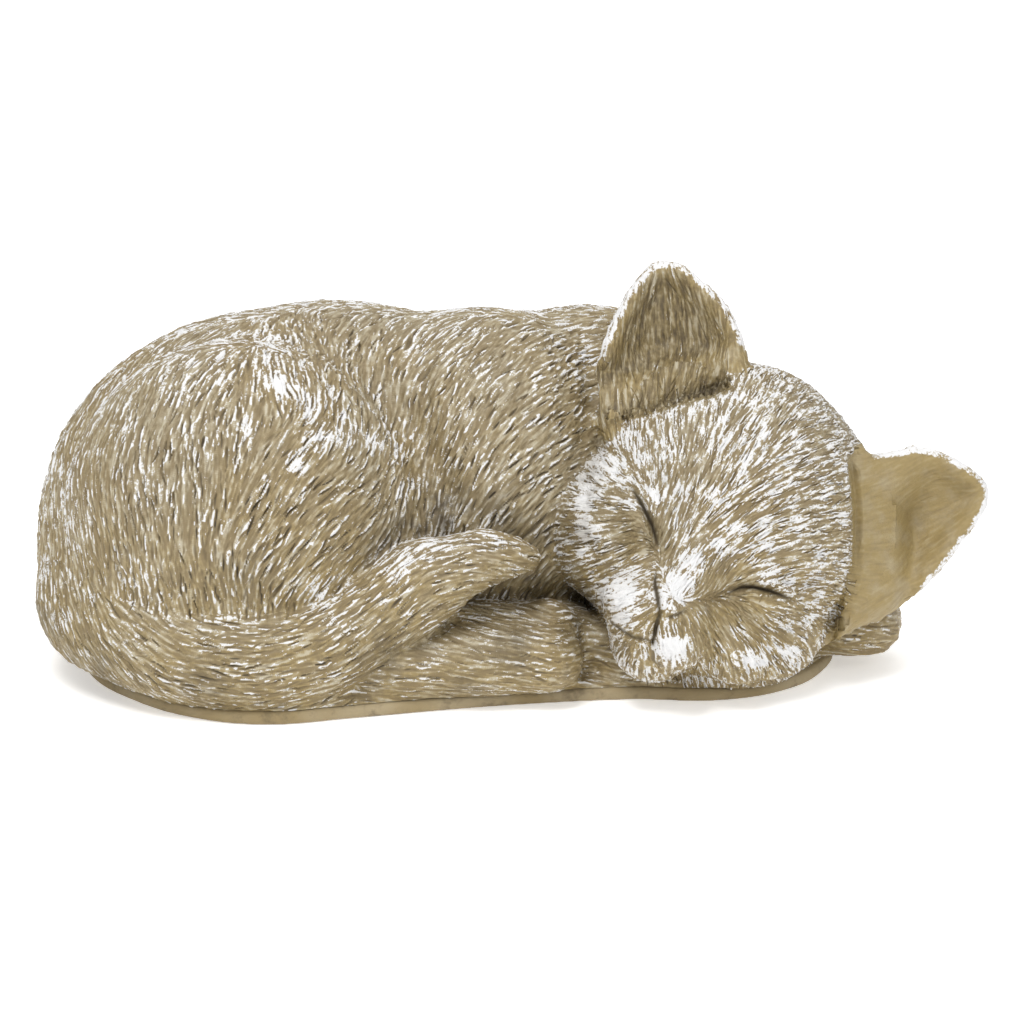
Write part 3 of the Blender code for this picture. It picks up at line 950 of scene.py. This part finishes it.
class Nodes:
    """Short ways to add nodes to a material."""

    def __init__(self, name):
        self.material = bpy.data.materials.new(name)
        self.material.use_nodes = True
        self.tree = self.material.node_tree
        self.shader = self.tree.nodes["Principled BSDF"]

    def feed(self, socket, value):
        if isinstance(value, bpy.types.NodeSocket):
            self.tree.links.new(value, socket)
        else:
            socket.default_value = (*value, 1.0) if socket.type == "RGBA" else value

    def add(self, kind, inputs=(), **settings):
        """A node with its settings, and its inputs from pairs of a name or place and a value."""
        node = self.tree.nodes.new("ShaderNode" + kind)
        for key, value in settings.items():
            setattr(node, key, value)
        for key, value in inputs:
            self.feed(node.inputs[key], value)
        return node

    def finish(self, **inputs):
        """Feeds the shader and gives the material. Spaces in input names are underscores here."""
        for key, value in inputs.items():
            self.feed(self.shader.inputs[key.replace("_", " ")], value)
        return self.material

    def attribute(self, name, output="Fac"):
        return self.add("Attribute", attribute_name=name).outputs[output]

    def place(self):
        return self.add("TexCoord").outputs["Object"]

    def noise(self, scale, detail=3.0, rough=0.55, place=None):
        inputs = {"Scale": scale, "Detail": detail, "Roughness": rough}
        inputs["Vector"] = place or self.place()
        return self.add("TexNoise", inputs.items()).outputs["Fac"]

    def streaks(self, scale, taps):
        """Noise drawn out along the fur, by averaging it at places along the lie."""
        place, lie = self.place(), self.attribute("lie", "Vector")
        total = 0.0
        for tap in range(taps):
            share = (2 * tap / (taps - 1) - 1,) * 3
            inputs = enumerate((lie, share, place))
            shift = self.add("VectorMath", inputs, operation="MULTIPLY_ADD")
            total = self.plus(self.noise(scale, 1.0, 0.5, shift.outputs[0]), total)
        return self.maths("DIVIDE", total, float(taps))

    def maths(self, kind, a, b, clamp=False):
        return self.add("Math", enumerate((a, b)), operation=kind, use_clamp=clamp).outputs[0]

    def times(self, a, b):
        return self.maths("MULTIPLY", a, b)

    def plus(self, a, b, clamp=False):
        return self.maths("ADD", a, b, clamp)

    def ramp(self, value, low, high, to_low=0.0, to_high=1.0):
        inputs = enumerate((value, low, high, to_low, to_high))
        return self.add("MapRange", inputs, interpolation_type="SMOOTHSTEP").outputs["Result"]

    def mix(self, share, a, b):
        inputs = (("Factor", share), (6, a), (7, b))
        return self.add("Mix", inputs, data_type="RGBA").outputs[2]

    def bump(self, height, distance):
        inputs = (("Strength", 0.5), ("Distance", distance), ("Height", height))
        return self.add("Bump", inputs).outputs["Normal"]


# The colours of the clay, the wash in its hollows, which also serves as painted shade, and the white
# brush.
GREY_KHAKI, KHAKI = (0.305, 0.255, 0.16), (0.285, 0.218, 0.105)
WARM_KHAKI, PALE_KHAKI = (0.31, 0.228, 0.085), (0.40, 0.355, 0.26)
CREAM, BROWN, DARK_BROWN = (0.50, 0.455, 0.35), (0.185, 0.135, 0.065), (0.15, 0.11, 0.053)
WASH_AND_SHADE, WHITE = (0.05, 0.037, 0.021), (0.73, 0.73, 0.735)
SLAB_LIGHT, SLAB_DARK, STAIN = (0.34, 0.275, 0.165), (0.27, 0.205, 0.10), (0.12, 0.09, 0.05)


def clay(name):
    """Khaki cast clay: a dark wash in the hollows, painted shade in the folds, the creases and the
    ears' cups, dark cut floors, and a broken white dry brush on the crests.
    """
    n = Nodes(name)
    hollow, valley, cut_floor = n.attribute("hollow"), n.attribute("valley"), n.attribute("cut_floor")
    frost, pooled_shade, cup = n.attribute("frost"), n.attribute("pooled_shade"), n.attribute("cup")
    plain = n.maths("SUBTRACT", n.streaks(900.0, 9), 0.5)
    streak = n.plus(n.times(plain, n.attribute("comb")), 0.5)
    body = n.mix(n.ramp(n.noise(28.0, 2.0), 0.35, 0.65), GREY_KHAKI, KHAKI)
    body = n.mix(n.attribute("warm"), body, WARM_KHAKI)
    body = n.mix(n.ramp(n.noise(160.0), 0.4, 0.75, 0.0, 0.4), body, PALE_KHAKI)
    body = n.mix(n.ramp(streak, 0.53, 0.44, 0.0, 0.75), body, BROWN)
    body = n.mix(n.ramp(streak, 0.50, 0.58, 0.0, 0.7), body, CREAM)
    body = n.mix(n.ramp(hollow, -0.1, 0.8, 0.0, 0.75), body, DARK_BROWN)
    dark = n.ramp(hollow, 0.5, 1.8, 0.0, 0.85)
    dark = n.times(dark, n.ramp(n.noise(90.0), 0.3, 0.6, 0.45, 1.0))
    # Painted shade in the folds of the body.
    dark = n.plus(dark, n.ramp(valley, 0.8, 4.5, 0.0, 0.7), True)
    # Painted shade in the creases and by the legs, broken by noise.
    shade_patches = n.times(pooled_shade, n.ramp(n.noise(110.0, 4.0, 0.7), 0.35, 0.6, 0.15, 1.0))
    dark = n.plus(dark, shade_patches, True)
    # Painted shade in the ears' hollows and under the fringe, lighter on the pale streaks.
    shade = n.times(cup, n.ramp(streak, 0.42, 0.58, 1.0, 0.25))
    dark = n.plus(dark, shade, True)
    # Darker in the floors of the cuts of the eyes, nose and mouth.
    dark = n.maths("MAXIMUM", dark, n.ramp(cut_floor, 0.15, 0.8))
    # The dark wash and all the painted shade in one colour.
    paint = n.mix(n.times(dark, 0.9), body, WASH_AND_SHADE)
    crest = n.ramp(n.times(hollow, -1.0), 0.2, 1.0)
    speckle = n.ramp(n.noise(1700.0, 2.0), 0.3, 0.7)
    patch = n.ramp(n.noise(130.0, 4.0, 0.65), 0.38, 0.62)
    brushed = n.plus(n.times(crest, 0.75), frost)
    brushed = n.plus(brushed, n.times(speckle, 0.35))
    brushed = n.plus(brushed, n.times(patch, 0.35))
    brushed = n.plus(brushed, n.ramp(streak, 0.42, 0.58, -0.35, 0.4))
    white = n.ramp(brushed, 1.1, 1.4)
    white = n.times(white, n.maths("SUBTRACT", 1.0, dark))
    paint = n.mix(n.times(white, 0.94), paint, WHITE)
    rough = n.ramp(white, 0.0, 1.0, 0.5, 0.85)
    relief = n.bump(n.plus(n.times(streak, 2.5), n.noise(1400.0, 4.0, 0.65)), 0.0005)
    return n.finish(Base_Color=paint, Roughness=rough, Specular_IOR_Level=0.4, Normal=relief)


def slab_clay(name):
    """Plainer, stained clay for the slab."""
    n = Nodes(name)
    body = n.mix(n.ramp(n.noise(40.0), 0.35, 0.65), SLAB_LIGHT, SLAB_DARK)
    body = n.mix(n.ramp(n.noise(120.0, 4.0, 0.7), 0.5, 0.7, 0.0, 0.6), body, STAIN)
    relief = n.bump(n.noise(600.0, 5.0, 0.65), 0.0006)
    return n.finish(Base_Color=body, Roughness=0.8, Normal=relief)


# Where the white brush went: place in a casting's front, as shares of its box, radius and amount.
FROST = {
    "torso_shell": (
        (0.24, 0.93, 8, 0.7), (0.29, 0.93, 8, 0.85), (0.32, 0.89, 7, 0.9), (0.35, 0.84, 7, 0.85),
        (0.36, 0.77, 7, 0.85), (0.33, 0.7, 6, 0.7), (0.38, 0.76, 7, 0.8), (0.42, 0.72, 6, 0.75),
        (0.44, 0.65, 5, 0.7), (0.457, 0.59, 5, 0.7), (0.27, 0.79, 8, 0.6), (0.19, 0.9, 12, 0.55),
        (0.12, 0.8, 14, 0.5), (0.15, 0.65, 14, 0.45), (0.05, 0.5, 14, 0.45),
        (0.6, 0.7, 14, 0.35), (0.66, 0.88, 10, 0.6), (0.52, 0.98, 26, 0.45),
    ),
    "tail": (
        (0.24, 0.72, 13, 0.55), (0.4, 0.55, 10, 0.55), (0.6, 0.65, 12, 0.6),
        (0.72, 0.84, 9, 0.85), (0.8, 0.93, 8, 0.85), (0.9, 0.97, 7, 0.6), (0.06, 0.45, 10, 0.5),
    ),
}
# The same on the face: place across and up in the head's axes, radius and amount.
FACE_FROST = (
    (-4, -25, 5, 1.3), (-1, -19, 6, 1.4), (-2, -12, 6, 1.3), (0, -5, 6, 1), (3, 3, 6, 0.9),
    (7, 11, 7, 0.8), (-12, -31, 7, 1.5), (-16, -33, 5, 1.2), (-8, -35, 5, 1.3),
    (7.5, -34, 6.5, 1.5), (3, -31, 4, 1.1), (3, -46, 5, 0.8), (-3, -43, 4, 0.7),
    (-21, -3, 5, 1.1), (-17, 6, 6, 0.8), (-26, -9, 4, 0.9), (-30, 4, 6, 0.8), (-38, -5, 8, 1.1),
    (-37, -14, 8, 1.2), (-31, -22, 7, 1.2), (-26, -27, 6, 1.1), (17, -1, 6, 1), (23, -1, 5, 0.9),
    (12, 5, 4, 0.9), (26, -24, 6, 1.1), (31, -20, 5, 1.1), (36, -16, 5, 1), (28, 8, 7, 0.8),
    (36, 0, 7, 0.8), (-10, 24, 14, 0.7), (12, 24, 14, 0.65), (38, -8, 7, 0.7),
)
# Spots of the face that the white brush missed.
FACE_BARE = (
    (-13, -14, 5, 0.7), (10, -14, 7, 0.8), (18, -12, 7, 0.5), (14, -26, 6, 0.5), (-22, -15, 6, 0.4),
    (-18, 14, 5, 0.3),
)
# Painted shade in the creases of the body, low on the tail and by the legs, given like the white
# brush.
SHADE_SPOTS = {
    "torso_shell": (
        (0.5, 0.5, 8, 1), (0.46, 0.46, 7, 1), (0.43, 0.42, 6, 0.9), (0.47, 0.58, 6, 0.4),
        (0.56, 0.48, 9, 0.7), (0.62, 0.45, 8, 0.6), (0.66, 0.42, 9, 0.7), (0.665, 0.58, 6, 0.5),
        (0.66, 0.24, 10, 0.6), (0.69, 0.13, 6, 0.6), (0.6, 0.28, 9, 0.6), (0.27, 0.4, 9, 0.35),
    ),
    "tail": ((0.14, 0.12, 9, 0.6), (0.36, 0.14, 8, 0.5), (0.02, 0.3, 7, 0.5)),
    "hind_paw": ((0.25, 0.75, 9, 0.6), (0.2, 0.35, 7, 0.5), (0.55, 0.2, 7, 0.4)),
    "near_foreleg": ((0.6, 0.6, 9, 0.6),),
}
# How much white there is on the face, the body, what faces up and the ears' rims, and how much is
# missing low on the body and in the ears. Low ends between these heights.
FACE_WHITE, BODY_WHITE, TOP_WHITE, RIM_WHITE = 0.55, 0.24, 0.16, 1.05
LOW_BARE, INNER_BARE, LOW = 0.16, 0.55, (25, 75)
# The painted shade lies at the figurine's front only.
SHADE_BEFORE = -15


def spot(flat, across, up, radius, amount):
    """A soft round spot of paint, seen from the front."""
    squared = (flat[:, 0] - across) ** 2 + (flat[:, 1] - up) ** 2
    return amount * np.exp(-squared / radius**2)


def spots(flat, node, places):
    """The most that any spot on a casting's front gives."""
    out = np.zeros(len(flat))
    for along, up, radius, amount in places:
        out = np.maximum(out, spot(flat, *on_front(node, along, up), radius, amount))
    return out


def paint_regions(mesh, label, head_at):
    """Stores where the white brush, the painted shade and the warmer clay go."""
    co, _ = as_arrays(mesh)
    flat, local = co[:, [0, 2]], to_local(co, head_at)
    face, face_flat = np.isin(label, FACE_PARTS), local[:, [0, 2]]
    up_facing = np.clip(normals_of(mesh)[:, 2], 0, 1)
    frost = np.where(face, FACE_WHITE, BODY_WHITE) + TOP_WHITE * up_facing
    low = 1 - eased(co[:, 2], *LOW)
    frost -= LOW_BARE * low * (1 - up_facing) * (label == TORSO)
    for node, places in FROST.items():
        frost = np.maximum(frost, spots(flat, node, places))
    for place in FACE_FROST:
        frost = np.maximum(frost, spot(face_flat, *place) * (local[:, 1] < 5) * face)
    for place in FACE_BARE:
        frost -= spot(face_flat, *place) * face
    rim, inner = stored(mesh, "rim"), stored(mesh, "inner")
    frost = np.maximum(frost, RIM_WHITE * rim)
    frost -= INNER_BARE * inner * (1 - rim)
    store(mesh, "frost", frost)
    store(mesh, "warm", np.clip(0.85 * low * (1 - up_facing) + 0.8 * inner, 0, 0.9))
    # Painted shade in the creases and by the legs, at the front only.
    pooled_shade = np.zeros(len(co))
    for node, places in SHADE_SPOTS.items():
        reaches = label != TAIL if node == "torso_shell" else 1
        pooled_shade = np.maximum(pooled_shade, spots(flat, node, places) * reaches)
    store(mesh, "pooled_shade", pooled_shade * (co[:, 1] < SHADE_BEFORE))


# ---------------------------- the slab, the floor, the light


def slab_piece():
    """The slab under the figurine with softened edges."""
    mesh = remeshed(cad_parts["base_slab"].data.copy(), SLAB_VOXEL)
    co, edges = as_arrays(mesh)
    lo, hi = co.min(0), co.max(0)
    middle = (lo + hi)[:2] / 2
    co = np.clip(smoothed(co, averager(len(co), edges), 3), lo, hi)
    co[:, :2] = (co[:, :2] - middle) * SLAB_DRAWN_IN + middle
    set_points(mesh, co)
    mesh.polygons.foreach_set("use_smooth", np.ones(len(mesh.polygons), bool))
    mesh.materials.clear()
    return linked("slab_underside", mesh)


def floor():
    """A wide sheet of white paper."""
    mesh = bpy.data.meshes.new("floor")
    with editing(mesh) as bm:
        bmesh.ops.create_grid(bm, x_segments=2, y_segments=2, size=6.0)
    paper = Nodes("floor_paper").finish(
        Base_Color=(0.95, 0.95, 0.95),
        Emission_Color=(1.0, 1.0, 1.0),
        Emission_Strength=0.4,
        Roughness=0.9,
        Specular_IOR_Level=0.1,
    )
    mesh.materials.append(paper)
    return linked("floor", mesh)


def aimed(obj, place, target):
    obj.location = place
    obj.rotation_mode = "QUATERNION"
    obj.rotation_quaternion = (Vector(target) - Vector(place)).to_track_quat("-Z", "Y")


def lamp(name, place, power, size):
    data = bpy.data.lights.new(name, "AREA")
    data.energy = power
    data.size = size
    aimed(linked(name, data), place, (0, 0, 0.05))


def studio():
    """Soft daylight from above and a little from the left. Places in metres, power in watts."""
    scene = bpy.context.scene
    world = bpy.data.worlds.new("studio")
    world.use_nodes = True
    world.node_tree.nodes["Background"].inputs[0].default_value = (1.0, 1.0, 1.0, 1.0)
    world.node_tree.nodes["Background"].inputs[1].default_value = 0.6
    scene.world = world
    lamp("key", (-0.25, -0.6, 1.15), 11.0, 0.5)
    lamp("fill", (0.9, -0.9, 0.6), 2.5, 0.8)
    lamp("top", (0.2, 0.5, 1.3), 4.0, 0.9)
    scene.view_settings.view_transform = "Standard"


def camera():
    """The lens sees 300 mm across at the figurine's middle, from 15 degrees above."""
    distance, half_width, height = 1.15, 0.150, 0.0444
    data = bpy.data.cameras.new("camera")
    data.sensor_width = 36.0
    data.lens = 36.0 * distance / (2 * half_width)
    data.clip_end = 50.0
    tilt = math.radians(15)
    place = (0.0, -distance * math.cos(tilt), height + distance * math.sin(tilt))
    obj = linked("camera", data)
    aimed(obj, place, (0.0, 0.0, height))
    bpy.context.scene.camera = obj


# ---------------------------- the scene


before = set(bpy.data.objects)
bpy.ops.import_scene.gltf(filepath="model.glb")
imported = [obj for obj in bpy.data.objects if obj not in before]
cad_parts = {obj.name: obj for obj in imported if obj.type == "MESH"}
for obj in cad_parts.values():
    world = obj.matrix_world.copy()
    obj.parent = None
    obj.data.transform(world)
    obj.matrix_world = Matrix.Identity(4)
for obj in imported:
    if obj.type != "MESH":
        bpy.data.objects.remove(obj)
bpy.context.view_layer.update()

head_at = head_frame()
skin = grown_skin(head_at)
soft_skin(skin, head_at)
label_faces(skin)
uv_islands(skin)
tree = skin_tree(skin)
refine_face(skin, head_at)
skin = dense_skin(skin)
labels = carve(skin, tree, head_at)
paint_regions(skin, labels, head_at)
coats = cut_up(skin)

fur, ear = clay("fur_clay"), clay("ear_clay")
for node, coat in coats.items():
    ears = node in ("left_ear", "right_ear")
    coat.data.materials.clear()
    coat.data.materials.append(ear if ears else fur)
    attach(coat, "root")
    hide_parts(node)

slab = slab_piece()
slab.data.materials.append(slab_clay("base_clay"))
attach(slab, "root")
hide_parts("base_slab")

floor()
studio()
camera()
